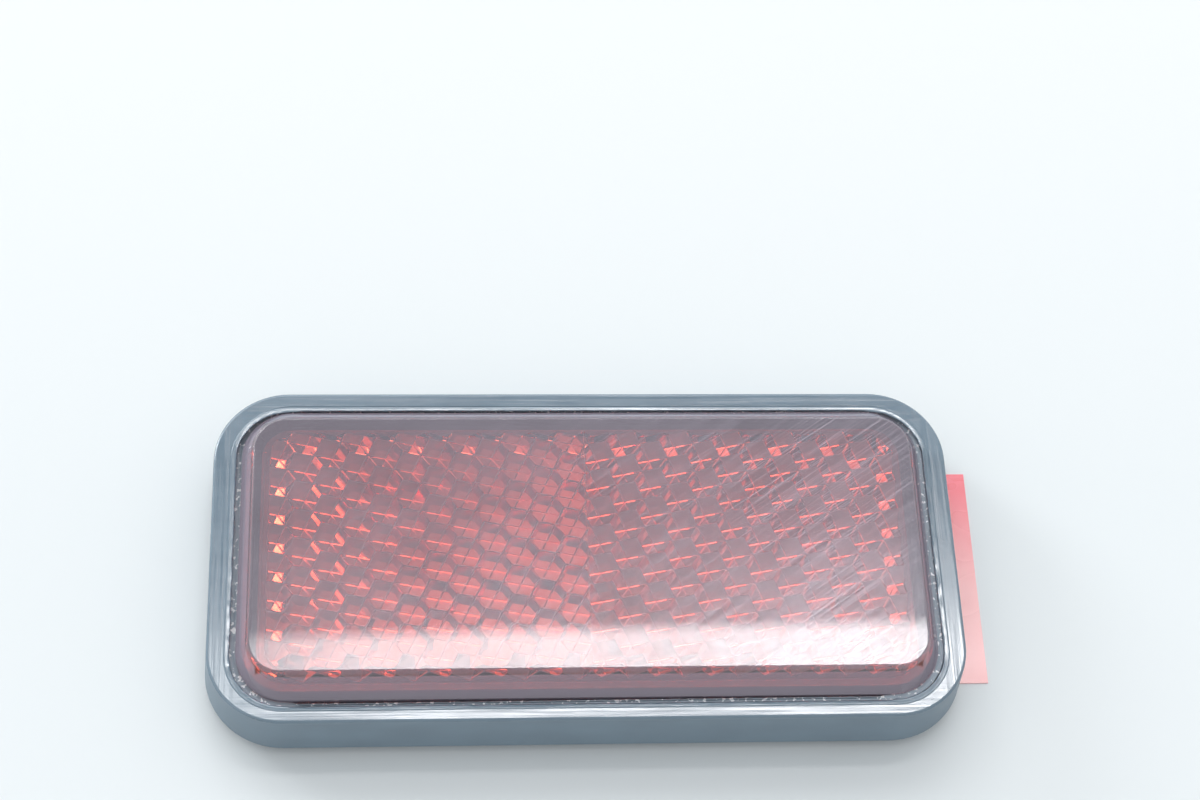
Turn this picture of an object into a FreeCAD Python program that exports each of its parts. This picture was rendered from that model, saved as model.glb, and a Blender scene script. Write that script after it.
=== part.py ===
"""Stick-on rectangular reflector, with its adhesive pad and release liner.

Four pieces: a black moulded tray, a clear red lens whose back is a field of
corner-cube prisms, a foam adhesive pad and the liner that covers the pad.

Frame: the origin is the centre of the back face, on the outside of the liner.
+X is the long way, towards the liner's pull tab, and +Z points out of the lens.
"""
import FreeCAD, Part
import math
import os
from FreeCAD import Vector

# All lengths are in millimetres and all angles in degrees.

# Release liner and adhesive pad
liner_thickness = 0.15
tab_reach = 3.2
tab_inset = 0.25
tape_length = 72.5
tape_width = 25.0
tape_thickness = 1.0

# Housing
rim_length = 77.7
rim_width = 37.0
rim_corner_radius = 7.75
rim_face_end = 2.25
rim_face_side = 1.65
opening_corner_radius = 5.7
housing_height = 6.4
wall_draft = 5.0
core_draft = 1.0
floor_thickness = 1.6
rim_edge_radius = 0.3
opening_edge_radius = 0.2
back_edge_radius = 0.5

# Weld wall: the upright ring inside the tray that the lens stands on
weld_wall_thickness = 1.6
weld_wall_inset = 0.5
seat_depth = 1.5

# Lens
lens_gap = 0.7
lens_rise = 2.75
lens_run_end = 1.4
lens_run_side = 2.05
lens_base_radius = 5.2
lens_face_radius = 3.4
lens_edge_radius = 0.3
lens_skirt = 3.0
lens_web = 1.4
pocket_corner_radius = 2.6

# Corner-cube prisms: hexagons in columns along Y. The starts are the place of the first
# prism of a half, in steps of a column along X and of a prism along Y.
prism_width = 3.22
prism_column_start = 0.5
prism_row_start = 0.2

# Heights
tape_z = liner_thickness
back_z = tape_z + tape_thickness
floor_z = back_z + floor_thickness
rim_z = back_z + housing_height
seat_z = rim_z - seat_depth
face_z = rim_z + lens_rise

# Outlines worked out from the driving sizes
opening_length = rim_length - 2 * rim_face_end
opening_width = rim_width - 2 * rim_face_side
back_length = rim_length + 2 * housing_height * math.tan(math.radians(wall_draft))
base_length = opening_length - 2 * lens_gap
base_width = opening_width - 2 * lens_gap
face_length = base_length - 2 * lens_run_end
face_width = base_width - 2 * lens_run_side
pocket_length = base_length - 2 * lens_skirt
pocket_width = base_width - 2 * lens_skirt


def rounded_outline(length, width, radius, z):
    """Closed wire of a rounded rectangle, centred on the Z axis."""
    x, y = length / 2, width / 2
    edges = []
    for sx, sy, start in ((1, 1, 0), (-1, 1, 90), (-1, -1, 180), (1, -1, 270)):
        centre = Vector(sx * (x - radius), sy * (y - radius), z)
        circle = Part.Circle(centre, Vector(0, 0, 1), radius)
        arc = circle.toShape(math.radians(start), math.radians(start + 90))
        if edges:
            edges.append(Part.makeLine(edges[-1].Vertexes[-1].Point, arc.Vertexes[0].Point))
        edges.append(arc)
    edges.append(Part.makeLine(edges[-1].Vertexes[-1].Point, edges[0].Vertexes[0].Point))
    return Part.Wire(edges)


def upright(length, width, radius, z_low, z_high):
    """Straight-sided block with rounded corners."""
    outline = rounded_outline(length, width, radius, z_low)
    return Part.Face(outline).extrude(Vector(0, 0, z_high - z_low))


def drafted(length, width, radius, z_low, z_high, draft):
    """Block that is this size at the top and grows downward by the draft angle."""
    grow = (z_high - z_low) * math.tan(math.radians(draft))
    low = rounded_outline(length + 2 * grow, width + 2 * grow, radius + grow, z_low)
    high = rounded_outline(length, width, radius, z_high)
    return Part.makeLoft([low, high], True, True)


def edges_at(shape, z, within=None):
    """Edges that lie in the plane at z, or only those inside the given half length."""
    found = []
    for edge in shape.Edges:
        box = edge.BoundBox
        flat = abs(box.ZMin - z) < 1e-4 and abs(box.ZMax - z) < 1e-4
        inside = within is None or max(abs(box.XMin), abs(box.XMax)) < within
        if flat and inside:
            found.append(edge)
    return found


def make_housing():
    """Tray with a flat rim, a drafted outer wall and the weld wall on its floor."""
    body = drafted(rim_length, rim_width, rim_corner_radius, back_z, rim_z, wall_draft)
    body = body.makeFillet(back_edge_radius, edges_at(body, back_z))
    body = body.makeFillet(rim_edge_radius, edges_at(body, rim_z))
    core = drafted(opening_length, opening_width, opening_corner_radius,
                   floor_z, rim_z, -core_draft)
    tray = body.cut(core)
    rim_inner = opening_length / 2 + rim_face_end / 2
    tray = tray.makeFillet(opening_edge_radius, edges_at(tray, rim_z, rim_inner))
    return tray.fuse(make_weld_wall()).removeSplitter()


def make_weld_wall():
    """Ring that stands on the tray's floor under the skirt of the lens."""
    length = base_length - 2 * weld_wall_inset
    width = base_width - 2 * weld_wall_inset
    radius = lens_base_radius - weld_wall_inset
    inner = 2 * weld_wall_thickness
    ring = drafted(length, width, radius, floor_z, seat_z, core_draft)
    bore = drafted(length - inner, width - inner, radius - weld_wall_thickness,
                   floor_z, seat_z, -core_draft)
    return ring.cut(bore)


def make_lens():
    """Bevelled block on a skirt, with the prisms in the pocket under its face."""
    skirt = upright(base_length, base_width, lens_base_radius, seat_z, rim_z)
    base = rounded_outline(base_length, base_width, lens_base_radius, rim_z)
    face = rounded_outline(face_length, face_width, lens_face_radius, face_z)
    bevel = Part.makeLoft([base, face], True, True)
    blank = skirt.fuse(bevel).removeSplitter()
    blank = blank.makeFillet(lens_edge_radius, edges_at(blank, face_z))
    right = make_prism_tool()
    left = right.copy()
    left.rotate(Vector(0, 0, 0), Vector(0, 0, 1), 180)
    return blank.cut(right).cut(left)


def make_prism_tool():
    """What the right half of the mould takes out of the lens: the pocket up to the prisms.

    The left half of the mould is the same, turned half a round.
    """
    pocket = upright(pocket_length, pocket_width, pocket_corner_radius, seat_z, face_z)
    half = Part.makeBox(pocket_length, pocket_width, face_z, Vector(0, -pocket_width / 2, 0))
    return pocket.common(half).common(make_prism_block())


def prism_cells():
    """Centres of the hexagons that cover the right half of the pocket."""
    pitch = prism_width * math.cos(math.radians(30))
    columns = math.ceil(pocket_length / 2 / pitch) + 2
    rows = math.ceil(pocket_width / 2 / prism_width) + 1
    for column in range(-1, columns):
        first_row = prism_row_start + 0.5 * (column % 2)
        for row in range(-rows, rows + 1):
            yield (column + prism_column_start) * pitch, (row + first_row) * prism_width


def make_prism_block():
    """Block whose top is the field of cube corners, its apexes pointing to the back.

    Each hexagon holds one cube corner: three square facets that meet at its centre,
    which is the deepest point. Its six corners lie one and two steps higher by turns.
    """
    step = prism_width / math.sqrt(6)
    side = prism_width / math.sqrt(3)
    shallow_z = face_z - lens_web
    facets = []
    rim_edges = {}
    for x, y in prism_cells():
        apex = Vector(x, y, shallow_z - 2 * step)
        ring = []
        for corner in range(6):
            angle = math.radians(60 * corner)
            z = shallow_z - step * (1 - corner % 2)
            ring.append(Vector(x + side * math.cos(angle), y + side * math.sin(angle), z))
        for corner in (0, 2, 4):
            facet = [apex, ring[corner], ring[corner + 1], ring[(corner + 2) % 6]]
            facets.append(flat_face(facet))
            for start, end in zip(facet, facet[1:] + facet[:1]):
                key = frozenset((plan_key(start), plan_key(end)))
                if rim_edges.pop(key, None) is None:
                    rim_edges[key] = (start, end)
    walls = []
    sole = []
    for start, end in rim_edges.values():
        below = [Vector(point.x, point.y, 0) for point in (start, end)]
        walls.append(flat_face([start, end, below[1], below[0]]))
        sole.append(Part.makeLine(below[0], below[1]))
    base = Part.Face(Part.Wire(Part.__sortEdges__(sole)))
    return Part.makeSolid(Part.makeShell(facets + walls + [base]))


def plan_key(point):
    """A point's place in plan, rounded so that neighbouring facets share it."""
    return round(point.x, 3), round(point.y, 3)


def flat_face(points):
    return Part.Face(Part.makePolygon(points + points[:1]))


def make_foam_tape():
    corner = Vector(-tape_length / 2, -tape_width / 2, tape_z)
    return Part.makeBox(tape_length, tape_width, tape_thickness, corner)


def make_release_liner():
    """Film the size of the pad, with a pull tab past the end of the housing."""
    left, right = -tape_length / 2, tape_length / 2
    tab_end = back_length / 2 + tab_reach
    half = tape_width / 2
    tab_half = half - tab_inset
    outline = [
        Vector(left, -half, 0), Vector(right, -half, 0),
        Vector(right, -tab_half, 0), Vector(tab_end, -tab_half, 0),
        Vector(tab_end, tab_half, 0), Vector(right, tab_half, 0),
        Vector(right, half, 0), Vector(left, half, 0),
    ]
    return flat_face(outline).extrude(Vector(0, 0, liner_thickness))


pieces = {
    "housing": make_housing,
    "lens": make_lens,
    "foam_tape": make_foam_tape,
    "release_liner": make_release_liner,
}

os.makedirs("parts", exist_ok=True)
for name, make in pieces.items():
    shape = make()
    shape.exportStep(f"parts/{name}.step")
    print(name, "valid" if shape.isValid() else "NOT VALID", len(shape.Solids), "solid",
          len(shape.Faces), "faces", round(shape.Volume, 1), "mm3")
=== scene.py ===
import math

import bpy
from mathutils import Matrix, Vector


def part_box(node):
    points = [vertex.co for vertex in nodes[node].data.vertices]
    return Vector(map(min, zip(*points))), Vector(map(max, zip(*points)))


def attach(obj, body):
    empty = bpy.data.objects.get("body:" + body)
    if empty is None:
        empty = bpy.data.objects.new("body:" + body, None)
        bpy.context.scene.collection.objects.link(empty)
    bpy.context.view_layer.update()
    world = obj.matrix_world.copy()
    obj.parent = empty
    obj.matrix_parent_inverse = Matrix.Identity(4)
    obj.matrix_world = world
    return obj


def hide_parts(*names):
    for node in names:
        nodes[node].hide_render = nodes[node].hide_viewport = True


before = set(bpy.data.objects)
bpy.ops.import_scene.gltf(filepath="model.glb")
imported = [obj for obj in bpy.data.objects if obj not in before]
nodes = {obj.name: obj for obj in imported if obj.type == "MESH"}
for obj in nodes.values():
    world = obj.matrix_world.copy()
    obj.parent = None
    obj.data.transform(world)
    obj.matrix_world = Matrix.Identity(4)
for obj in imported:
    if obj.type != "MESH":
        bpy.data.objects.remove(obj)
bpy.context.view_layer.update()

mm = 0.001


# Housing
# The tray is one moulding of slate-black plastic. Its outer wall is satin from the mould,
# and its flat rim is burnished along its length, with fine streaks and rubbed patches.

housing_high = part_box("housing")[1]
rim_height = housing_high.z
rim_skin = (rim_height - 0.25 * mm, rim_height - 0.10 * mm)
rim_end_width = 2.25 * mm
rim_end_start = housing_high.x - 2 * rim_end_width
rim_end = (rim_end_start, rim_end_start + rim_end_width)
plastic_slate = (0.110, 0.168, 0.220, 1)
plastic_rubbed = (0.118, 0.164, 0.210, 1)
plastic_dusty = (0.136, 0.202, 0.258, 1)
plastic_ior = 1.9
rim_roughness = (0.07, 0.28)
wall_roughness = (0.36, 0.46)
streak_length, streak_width = 12 * mm, 0.11 * mm
streak_size_x = (streak_length, streak_width, streak_width)
streak_size_y = (streak_width, streak_length, streak_width)
streaks_rubbed = (0.45, 0.75)
streaks_polished = (0.38, 0.66)
patch_size = (6 * mm, 3 * mm, 3 * mm)
patches_dusty = (0.35, 0.65)
grain_size = (0.25 * mm, 0.25 * mm, 0.25 * mm)
grain_depth = 0.006 * mm
relief_strength = 0.6


def fill_sockets(tree, node, sockets):
    """Gives each listed socket of a node its value, or its link where it has one."""
    for socket, value in sockets.items():
        if isinstance(value, bpy.types.NodeSocket):
            tree.links.new(value, node.inputs[socket])
        else:
            node.inputs[socket].default_value = value


def add_node(tree, kind, sockets, **settings):
    """Adds a node, sets its options and fills its sockets."""
    node = tree.nodes.new(kind)
    for name, value in settings.items():
        setattr(node, name, value)
    fill_sockets(tree, node, sockets)
    return node


def new_surface(name):
    """A material with its node tree, its Principled shader and its object coordinates."""
    material = bpy.data.materials.new(name)
    material.use_nodes = True
    tree = material.node_tree
    shader = tree.nodes["Principled BSDF"]
    place = tree.nodes.new("ShaderNodeTexCoord").outputs["Object"]
    return material, tree, shader, place


def split_axes(tree, vector):
    """The X, Y and Z of a vector."""
    return add_node(tree, "ShaderNodeSeparateXYZ", {"Vector": vector}).outputs


def calculate(tree, operation, *values):
    """One step of arithmetic on values or links, such as a product or the larger of two."""
    sockets = dict(enumerate(values))
    return add_node(tree, "ShaderNodeMath", sockets, operation=operation).outputs[0]


def measure(tree, operation, first, second):
    """A number worked out from two vectors, such as the distance between two points."""
    sockets = {0: first, 1: second}
    return add_node(tree, "ShaderNodeVectorMath", sockets, operation=operation).outputs["Value"]


def stretched_noise(tree, place, size, detail, roughness=0.5):
    """Noise whose grain is size metres along X, Y and Z."""
    scale = [1 / length for length in size]
    grain = add_node(tree, "ShaderNodeMapping", {"Vector": place, "Scale": scale})
    return add_node(
        tree, "ShaderNodeTexNoise",
        {"Vector": grain.outputs["Vector"], "Scale": 1.0, "Detail": detail, "Roughness": roughness},
    ).outputs["Fac"]


def remap(tree, value, source, target=(0.0, 1.0)):
    """Stretches a value from one span to another, and stops at both ends."""
    return add_node(
        tree, "ShaderNodeMapRange",
        {"Value": value, "From Min": source[0], "From Max": source[1],
         "To Min": target[0], "To Max": target[1]},
    ).outputs["Result"]


def blend_values(tree, factor, low, high):
    """Goes from one value to the other as the factor goes from 0 to 1."""
    sockets = {0: factor, 2: low, 3: high}
    return add_node(tree, "ShaderNodeMix", sockets, data_type="FLOAT").outputs[0]


def blend_colours(tree, factor, low, high):
    """Goes from one colour to the other as the factor goes from 0 to 1."""
    sockets = {0: factor, 6: low, 7: high}
    return add_node(tree, "ShaderNodeMix", sockets, data_type="RGBA").outputs[2]


def relief(tree, height, depth):
    """The normals of a surface that rises with a value, by up to depth metres."""
    sockets = {"Height": height, "Distance": depth, "Strength": relief_strength}
    return add_node(tree, "ShaderNodeBump", sockets).outputs["Normal"]


def dress(node_name, material):
    """Gives a CAD node one material in all its slots."""
    for slot in nodes[node_name].material_slots:
        slot.material = material


housing_plastic, tree, shader, place = new_surface("burnished_black_plastic")
spot = split_axes(tree, place)
on_rim = remap(tree, spot["Z"], rim_skin)
along_x = stretched_noise(tree, place, streak_size_x, detail=4, roughness=0.6)
along_y = stretched_noise(tree, place, streak_size_y, detail=4, roughness=0.6)
on_end = remap(tree, calculate(tree, "ABSOLUTE", spot["X"]), rim_end)
streaks = blend_values(tree, on_end, along_x, along_y)
patches = remap(tree, stretched_noise(tree, place, patch_size, detail=3), patches_dusty)
grain = stretched_noise(tree, place, grain_size, detail=2)
rubbed_rim = calculate(tree, "MULTIPLY", remap(tree, streaks, streaks_rubbed), on_rim)
body_colour = blend_colours(tree, patches, plastic_slate, plastic_dusty)
rim_finish = remap(tree, streaks, streaks_polished, rim_roughness)
wall_finish = remap(tree, patches, (0.0, 1.0), wall_roughness)
fill_sockets(tree, shader, {
    "Base Color": blend_colours(tree, rubbed_rim, body_colour, plastic_rubbed),
    "Roughness": blend_values(tree, on_rim, wall_finish, rim_finish),
    "Normal": relief(tree, blend_values(tree, on_rim, grain, streaks), grain_depth),
    "IOR": plastic_ior,
})
dress("housing", housing_plastic)


# Rim burr and weld flash
# Burnishing has turned up a thin ragged lip along the rim's inner edge. Welding has pressed
# a lumpy bead of molten plastic out beside the lens, which fills the gap round it and
# stands a little higher at the near side and at the tab's end.

opening_size = (73.2 * mm, 33.7 * mm)
opening_radius = 5.7 * mm
burr_growth = (1.0 * mm, 0.5 * mm)
burr_radius_growth = 0.35 * mm
burr_shift = -0.22 * mm
lens_base_size = (71.8 * mm, 32.3 * mm)
lens_base_radius = 5.2 * mm
flash_growth = 1.36 * mm
flash_radius_growth = 0.68 * mm
flash_depth = 0.45 * mm
flash_tilt = (math.radians(-0.36), math.radians(-0.30), 0)
corner_steps = 24
long_cuts, short_cuts = 240, 80
shortest_run = 5 * mm
strip_thickness = 0.05 * mm
# The bead is painted a much lighter grey than the housing plastic: painted light that lifts the
# shade in the gap round the lens.
flash_painted_light_grey = (0.27, 0.33, 0.39, 1)
flash_roughness = 0.34
# The pale specks are painted glints, standing for highlights on the bead's lumps.
painted_glint_pale = (0.85, 0.88, 0.90, 1)
painted_glint_size = (0.45 * mm, 0.45 * mm, 0.45 * mm)
painted_glint_edge = (0.60, 0.64)


def select_edges_by_run(mesh_object, test):
    """Selects the edges whose run, from one end to the other, passes a test."""
    bpy.ops.mesh.select_all(action="DESELECT")
    bpy.ops.object.mode_set(mode="OBJECT")
    points = mesh_object.data.vertices
    for edge in mesh_object.data.edges:
        start, end = (points[i].co for i in edge.vertices)
        edge.select = test(end - start)
    bpy.ops.object.mode_set(mode="EDIT")


def make_rim_strip(name, size, radius, place, tilt, steps, ragged, lumps, lump_size):
    """A narrow strip that follows a rounded rectangle inwards, with a rise at each step."""
    bpy.ops.object.select_all(action="DESELECT")
    bpy.ops.mesh.primitive_plane_add(size=1.0, location=place)
    strip = bpy.context.object
    strip.name = name
    strip.scale = (size[0], size[1], 1.0)
    bpy.ops.object.transform_apply(location=True, rotation=True, scale=True)
    bpy.ops.object.mode_set(mode="EDIT")
    bpy.ops.mesh.select_mode(type="VERT")
    bpy.ops.mesh.select_all(action="SELECT")
    bpy.ops.mesh.bevel(offset=radius, segments=corner_steps, affect="VERTICES")
    bpy.ops.mesh.select_mode(type="EDGE")
    select_edges_by_run(strip, lambda run: abs(run.x) > shortest_run)
    bpy.ops.mesh.subdivide(number_cuts=long_cuts)
    select_edges_by_run(strip, lambda run: abs(run.y) > shortest_run)
    bpy.ops.mesh.subdivide(number_cuts=short_cuts)
    bpy.ops.mesh.select_mode(type="FACE")
    bpy.ops.mesh.select_all(action="SELECT")
    for inward, rise in steps:
        bpy.ops.mesh.inset(thickness=inward, use_boundary=True)
        bpy.ops.transform.translate(value=(0, 0, rise))
    bpy.ops.transform.vertex_random(offset=ragged, seed=7)
    bpy.ops.mesh.delete(type="ONLY_FACE")
    bpy.ops.object.mode_set(mode="OBJECT")
    clouds = bpy.data.textures.new(name + "_lumps", "CLOUDS")
    clouds.noise_scale = lump_size
    displace = strip.modifiers.new("lumps", "DISPLACE")
    displace.texture = clouds
    displace.texture_coords = "LOCAL"
    displace.strength = lumps
    displace.mid_level = 0.5
    bpy.ops.object.modifier_apply(modifier=displace.name)
    thickness = strip.modifiers.new("thickness", "SOLIDIFY")
    thickness.thickness = strip_thickness
    thickness.offset = -1.0
    bpy.ops.object.modifier_apply(modifier=thickness.name)
    strip.rotation_euler = tilt
    bpy.ops.object.transform_apply(location=False, rotation=True, scale=False)
    bpy.ops.object.shade_smooth()
    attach(strip, "root")
    return strip


rim_burr = make_rim_strip(
    "rim_burr",
    size=(opening_size[0] + burr_growth[0], opening_size[1] + burr_growth[1]),
    radius=opening_radius + burr_radius_growth,
    place=(0, burr_shift, rim_height),
    tilt=(0, 0, 0),
    steps=((0.05 * mm, 0.030 * mm), (0.16 * mm, -0.009 * mm), (0.16 * mm, -0.010 * mm),
           (0.16 * mm, -0.011 * mm), (0.10 * mm, -0.030 * mm)),
    ragged=0.08 * mm, lumps=0.030 * mm, lump_size=1.4 * mm,
)
rim_burr.data.materials.append(housing_plastic)

weld_flash = make_rim_strip(
    "weld_flash",
    size=(lens_base_size[0] + flash_growth, lens_base_size[1] + flash_growth),
    radius=lens_base_radius + flash_radius_growth,
    place=(0, 0, rim_height - flash_depth),
    tilt=flash_tilt,
    steps=((0.15 * mm, -0.04 * mm), (0.17 * mm, -0.06 * mm), (0.17 * mm, 0.04 * mm),
           (0.17 * mm, 0.06 * mm), (0.17 * mm, -0.04 * mm)),
    ragged=0.02 * mm, lumps=0.25 * mm, lump_size=0.6 * mm,
)
flash_plastic, tree, shader, place = new_surface("weld_flash_plastic")
# Pale specks of painted glints over the bead's painted-light grey.
painted_glints = remap(tree, stretched_noise(tree, place, painted_glint_size, detail=2), painted_glint_edge)
fill_sockets(tree, shader, {
    "Base Color": blend_colours(tree, painted_glints, flash_painted_light_grey, painted_glint_pale),
    "Roughness": flash_roughness,
})
weld_flash.data.materials.append(flash_plastic)


# Lens
# The lens is one moulding of clear red acrylic, polished in the mould on its face and on
# the cube corners of its back, whose edges are slightly rounded, as a mould leaves them.
# Handling has left a haze on it, hairline scratches and one rubbed corner.

lens_face_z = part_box("lens")[1].z
merge_distance = 0.001 * mm
flat_angle = math.radians(1)
prism_angle = math.radians(30)
smooth_angle = math.radians(18)
edge_round = 0.12 * mm
pocket_half_length, pocket_half_width = 33.2 * mm, 13.5 * mm
pocket_roof = 9.2 * mm
lens_clear = (1.0, 1.0, 1.0, 1)
haze_pale = (0.95, 0.83, 1.0, 1)
lens_red = (0.998, 0.345, 0.045, 1)
lens_density = 450.0
lens_ior = 1.49
inner_roughness = 0.05
outer_skin = 0.6 * mm
face_skin = (lens_face_z - outer_skin, lens_face_z - outer_skin / 2)
skin_half_length, skin_half_width = 33.6 * mm, 13.8 * mm
skin_fade = 0.2 * mm
haze_size = (14 * mm, 9 * mm, 5 * mm)
haze_spread = (0.30, 0.70)
face_haze = (0.15, 0.18)
side_haze = 0.26
scratch_angle = math.radians(-35)
scratch_size = (12 * mm, 0.08 * mm, 2 * mm)
scratches_fine = (0.51, 0.63)
scratches_dense = (0.40, 0.60)
scratches_rough = (0.52, 0.72)
scratch_haze = 0.14
scratch_coat = 0.8
worn_stretch = (-12 * mm, 22 * mm)
worn_share = (0.22, 1.0)
rub_centre = (25 * mm, -7 * mm, lens_face_z)
rub_reach, rub_core = 15 * mm, 4 * mm
face_roughness = (0.01, 0.05)
coat_share = (0.35, 0.55)
coat_roughness = 0.17

bpy.ops.object.select_all(action="DESELECT")
bpy.ops.mesh.primitive_plane_add(size=1.0, location=(0, 0, 0))
moulding = bpy.context.object
moulding.name = "lens_moulding"
blank = moulding.data
moulding.data = nodes["lens"].data.copy()
bpy.data.meshes.remove(blank)
moulding.data.materials.clear()
bpy.ops.object.mode_set(mode="EDIT")
bpy.ops.mesh.select_all(action="SELECT")
bpy.ops.mesh.remove_doubles(threshold=merge_distance)
bpy.ops.mesh.dissolve_limited(angle_limit=flat_angle)
bpy.ops.mesh.select_mode(type="EDGE")
bpy.ops.mesh.select_all(action="DESELECT")
bpy.ops.mesh.edges_select_sharp(sharpness=prism_angle)
bpy.ops.object.mode_set(mode="OBJECT")
points = moulding.data.vertices
for edge in moulding.data.edges:
    ends = [points[i].co for i in edge.vertices]
    in_pocket = all(
        abs(end.x) < pocket_half_length and abs(end.y) < pocket_half_width
        and end.z < pocket_roof for end in ends
    )
    edge.select = edge.select and in_pocket
bpy.ops.object.mode_set(mode="EDIT")
bpy.ops.mesh.bevel(offset=edge_round, segments=2, affect="EDGES", clamp_overlap=False)
bpy.ops.object.mode_set(mode="OBJECT")
bpy.ops.mesh.customdata_custom_splitnormals_clear()
bpy.ops.object.shade_smooth_by_angle(angle=smooth_angle)
flat_faces = moulding.modifiers.new("flat_faces", "WEIGHTED_NORMAL")
flat_faces.keep_sharp = True
flat_faces.weight = 100
bpy.ops.object.modifier_apply(modifier=flat_faces.name)
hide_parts("lens")
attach(moulding, "root")

lens_acrylic, tree, shader, place = new_surface("clear_red_acrylic")
spot = split_axes(tree, place)
on_face = remap(tree, spot["Z"], face_skin)
from_x = calculate(tree, "ABSOLUTE", spot["X"])
from_y = calculate(tree, "ABSOLUTE", spot["Y"])
past_x = remap(tree, from_x, (skin_half_length, skin_half_length + skin_fade))
past_y = remap(tree, from_y, (skin_half_width, skin_half_width + skin_fade))
past = calculate(tree, "MAXIMUM", past_x, past_y)
on_side = calculate(tree, "MULTIPLY", past, calculate(tree, "SUBTRACT", 1.0, on_face))
on_skin = calculate(tree, "MAXIMUM", on_face, on_side)

turned = add_node(
    tree, "ShaderNodeMapping", {"Vector": place, "Rotation": (0, 0, scratch_angle)}
).outputs["Vector"]
scratches = stretched_noise(tree, turned, scratch_size, detail=2, roughness=0.6)
worn_end = remap(tree, spot["X"], worn_stretch, worn_share)
hairlines = calculate(tree, "MULTIPLY", remap(tree, scratches, scratches_fine), worn_end)
rubbed = remap(tree, measure(tree, "DISTANCE", place, rub_centre), (rub_reach, rub_core))
rubbed = calculate(tree, "MULTIPLY", remap(tree, scratches, scratches_dense), rubbed)
scored = calculate(tree, "MAXIMUM", hairlines, rubbed)

haze = stretched_noise(tree, place, haze_size, detail=2)
hazed = remap(tree, haze, haze_spread, face_haze)
hazed = calculate(tree, "MULTIPLY_ADD", scored, scratch_haze, hazed)
hazed = blend_values(tree, on_side, hazed, side_haze)
veil = blend_values(tree, on_skin, 0.0, hazed)
face_finish = remap(tree, scratches, scratches_rough, face_roughness)
coat = remap(tree, haze, haze_spread, coat_share)
coat = calculate(tree, "MULTIPLY_ADD", scored, scratch_coat, coat)
fill_sockets(tree, shader, {
    "Base Color": blend_colours(tree, on_skin, lens_clear, haze_pale),
    "Roughness": blend_values(tree, on_skin, inner_roughness, face_finish),
    "IOR": lens_ior,
    "Transmission Weight": calculate(tree, "SUBTRACT", 1.0, veil),
    "Coat Weight": calculate(tree, "MULTIPLY", on_face, coat),
    "Coat Roughness": coat_roughness,
})
absorption = add_node(
    tree, "ShaderNodeVolumeAbsorption", {"Color": lens_red, "Density": lens_density}
).outputs["Volume"]
fill_sockets(tree, tree.nodes["Material Output"], {"Volume": absorption})
dress("lens", lens_acrylic)
moulding.data.materials.append(lens_acrylic)


# Foam tape
# The pad is dark closed-cell foam with adhesive on both sides, cut from a roll. Its edge
# shows in the narrow gap under the housing.

foam_grey = (0.060, 0.062, 0.065, 1)
foam_light = (0.110, 0.112, 0.115, 1)
foam_roughness = 0.85
cell_size = (0.3 * mm, 0.3 * mm, 0.2 * mm)
cell_depth = 0.1 * mm

foam, tree, shader, place = new_surface("closed_cell_foam")
cells = stretched_noise(tree, place, cell_size, detail=3)
fill_sockets(tree, shader, {
    "Base Color": blend_colours(tree, cells, foam_grey, foam_light),
    "Roughness": foam_roughness,
    "Normal": relief(tree, cells, cell_depth),
})
dress("foam_tape", foam)


# Release liner
# The liner is thin red film laid over the adhesive, and its end sticks out past the
# housing as a pull tab. Its near side is painted paler, a painted reflection of the soft box's
# glare.

film_red = (0.88, 0.095, 0.140, 1)
film_pale = (0.93, 0.240, 0.280, 1)
# Pale pink of the painted glare on the film's near side.
film_painted_glare = (0.96, 0.500, 0.500, 1)
film_ior = 1.65
film_roughness = (0.22, 0.30)
tint_size = (12 * mm, 8 * mm, 8 * mm)
tint_spread = (0.35, 0.65)
painted_glare_span = (10 * mm, -2 * mm)

film, tree, shader, place = new_surface("red_liner_film")
tint = stretched_noise(tree, place, tint_size, detail=2)
tinted = blend_colours(tree, tint, film_red, film_pale)
# Painted reflection: the film turns paler towards the near side, standing for the soft box's glare.
painted_glare = remap(tree, split_axes(tree, place)["Y"], painted_glare_span)
fill_sockets(tree, shader, {
    "Base Color": blend_colours(tree, painted_glare, tinted, film_painted_glare),
    "Roughness": remap(tree, tint, tint_spread, film_roughness),
    "IOR": film_ior,
})
dress("release_liner", film)


# Floor and light
# A pale table top in a bright room. Behind the reflector are a long soft box high up, a bank
# of windows under it with a darker strip of wall between the two, and three lamps to the
# sides. The room is a little darker where the photographer stands.

table_size = 3.0
# The table's near colour is painted shade and its far colour is painted light.
table_shaded_near = (0.740, 0.770, 0.780, 1)
table_lit_far = (0.830, 0.840, 0.835, 1)
painted_light_span = (10 * mm, 130 * mm)
table_roughness = 0.6
room_white = (0.95, 0.98, 1.0, 1)
room_strength = 0.95
room_slope = (-0.12, 0.25, 0)
seen_strength = 1.0
horizon = (0.0, 0.01)
shade_direction = (-0.079, -0.463, 0.883)
shade_edge = (0.86, 0.94)
shade_depth = 0.25
lamps = ((-52, 18, 14.0), (-30, 42, 4.0), (38, 12, 1.0))
lamp_edge = math.cos(math.radians(7.5))
lamp_fade = 0.006
soft_box_white = (1.0, 0.985, 0.985, 1)
soft_box_strength = 12.3
soft_box_level, soft_box_slope = 0.9, 0.8
soft_box_sides = (-0.16, -0.02), (0.32, 0.29)
soft_box_ends = (0.320, 0.335), (0.409, 0.402)
soft_box_skew = -0.015
dark_depth = 0.6
dark_sides = (-0.25, -0.15), (0.42, 0.34)
dark_ends = (0.404, 0.416), (0.62, 0.58)
window_strength = 3.2
window_sides = (-0.32, -0.22), (0.32, 0.22)
window_ends = (0.60, 0.66), (1.15, 1.05)

bpy.ops.object.select_all(action="DESELECT")
bpy.ops.mesh.primitive_plane_add(size=table_size, location=(0, 0, 0))
table = bpy.context.object
table.name = "table_top"
table_finish, tree, shader, place = new_surface("pale_table")
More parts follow.
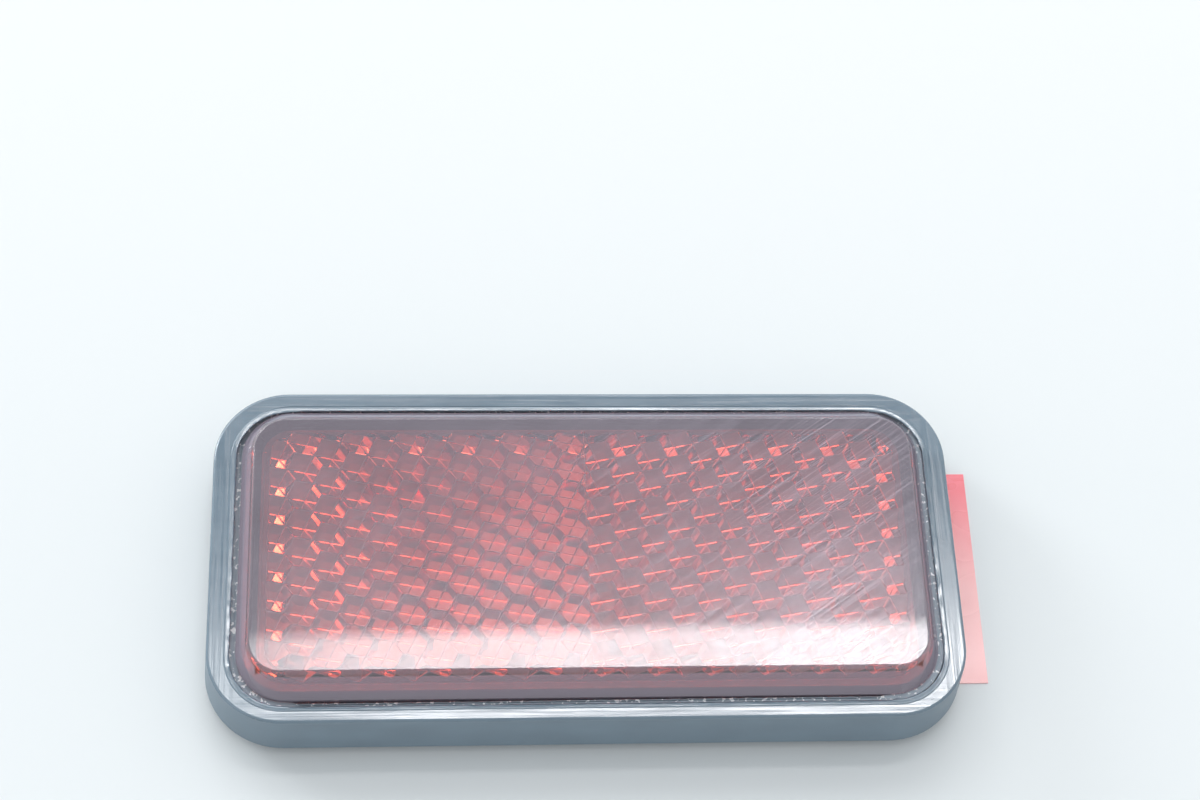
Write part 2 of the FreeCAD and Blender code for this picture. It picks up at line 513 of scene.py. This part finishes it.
# Painted light: the table is painted darker near the reflector and paler towards the far side,
# where the windows and soft box light it more.
painted_light_falloff = remap(tree, split_axes(tree, place)["Y"], painted_light_span)
fill_sockets(tree, shader, {
    "Base Color": blend_colours(tree, painted_light_falloff, table_shaded_near, table_lit_far),
    "Roughness": table_roughness,
})
table.data.materials.append(table_finish)


def make_panel(tree, across, along, above, sides, ends):
    """1 inside an upright panel of the sky and 0 outside it, with soft edges."""
    panel = above
    for side in sides:
        panel = calculate(tree, "MULTIPLY", panel, remap(tree, across, side))
    for end in ends:
        panel = calculate(tree, "MULTIPLY", panel, remap(tree, along, end))
    return panel


world = bpy.data.worlds.new("bright_room")
world.use_nodes = True
tree = world.node_tree
direction = tree.nodes.new("ShaderNodeTexCoord").outputs["Generated"]
ray = split_axes(tree, direction)
above = remap(tree, ray["Z"], horizon)
slope_x = calculate(tree, "DIVIDE", ray["X"], ray["Z"])
slope_y = calculate(tree, "DIVIDE", ray["Y"], ray["Z"])
slope_y = calculate(tree, "MULTIPLY_ADD", slope_x, soft_box_skew, slope_y)
shade = remap(tree, measure(tree, "DOT_PRODUCT", direction, shade_direction), shade_edge)
room = remap(tree, shade, (0.0, 1.0), (room_strength, room_strength * (1 - shade_depth)))
brighter = measure(tree, "DOT_PRODUCT", direction, room_slope)
room = calculate(tree, "MULTIPLY_ADD", brighter, room, room)
dark = make_panel(tree, slope_x, slope_y, above, dark_sides, dark_ends)
room = calculate(tree, "MULTIPLY", room, remap(tree, dark, (0.0, 1.0), (1.0, 1 - dark_depth)))
for turn, height, strength in lamps:
    turn, height = math.radians(turn), math.radians(height)
    aim = (math.sin(turn) * math.cos(height), math.cos(turn) * math.cos(height), math.sin(height))
    facing = measure(tree, "DOT_PRODUCT", direction, aim)
    glow = remap(tree, facing, (lamp_edge - lamp_fade, lamp_edge))
    room = calculate(tree, "MULTIPLY_ADD", glow, strength, room)
windows = make_panel(tree, slope_x, slope_y, above, window_sides, window_ends)
room = calculate(tree, "MULTIPLY_ADD", windows, window_strength, room)
soft_box = make_panel(tree, slope_x, slope_y, above, soft_box_sides, soft_box_ends)
box_glow = calculate(
    tree, "MULTIPLY_ADD", slope_x,
    soft_box_slope * soft_box_strength, soft_box_level * soft_box_strength,
)
room = calculate(tree, "MULTIPLY_ADD", soft_box, box_glow, room)
seen = tree.nodes.new("ShaderNodeLightPath").outputs["Is Camera Ray"]
fill_sockets(tree, tree.nodes["Background"], {
    "Color": blend_colours(tree, soft_box, room_white, soft_box_white),
    "Strength": blend_values(tree, seen, room, seen_strength),
})
bpy.context.scene.world = world


# Camera
# It looks down on the reflector from the near side, as the photograph does. Its place and
# its lens were fitted to the outlines of the rim and of the lens's face.

view_azimuth = math.radians(9.64)
view_elevation = math.radians(61.98)
view_roll = math.radians(8.46)
view_distance = 251.96 * mm
view_aim = Vector((1.79, 16.26, 10.30)) * mm
focal_px, frame_px = 2372.2, 1200
sensor_width = 36.0
nearest_seen = 10 * mm

back = Vector((
    -math.sin(view_azimuth) * math.cos(view_elevation),
    -math.cos(view_azimuth) * math.cos(view_elevation),
    math.sin(view_elevation),
))
camera_data = bpy.data.cameras.new("camera")
camera_data.sensor_width = sensor_width
camera_data.lens = sensor_width * focal_px / frame_px
camera_data.clip_start = nearest_seen
camera = bpy.data.objects.new("camera", camera_data)
camera.matrix_world = (
    Matrix.Translation(view_aim + back * view_distance)
    @ back.to_track_quat("Z", "Y").to_matrix().to_4x4()
    @ Matrix.Rotation(view_roll, 4, "Z")
)
bpy.context.collection.objects.link(camera)
scene = bpy.context.scene
scene.camera = camera
scene.view_settings.view_transform = "Standard"
scene.cycles.max_bounces = 32
scene.cycles.transmission_bounces = 32
scene.cycles.glossy_bounces = 12
scene.cycles.use_denoising = True
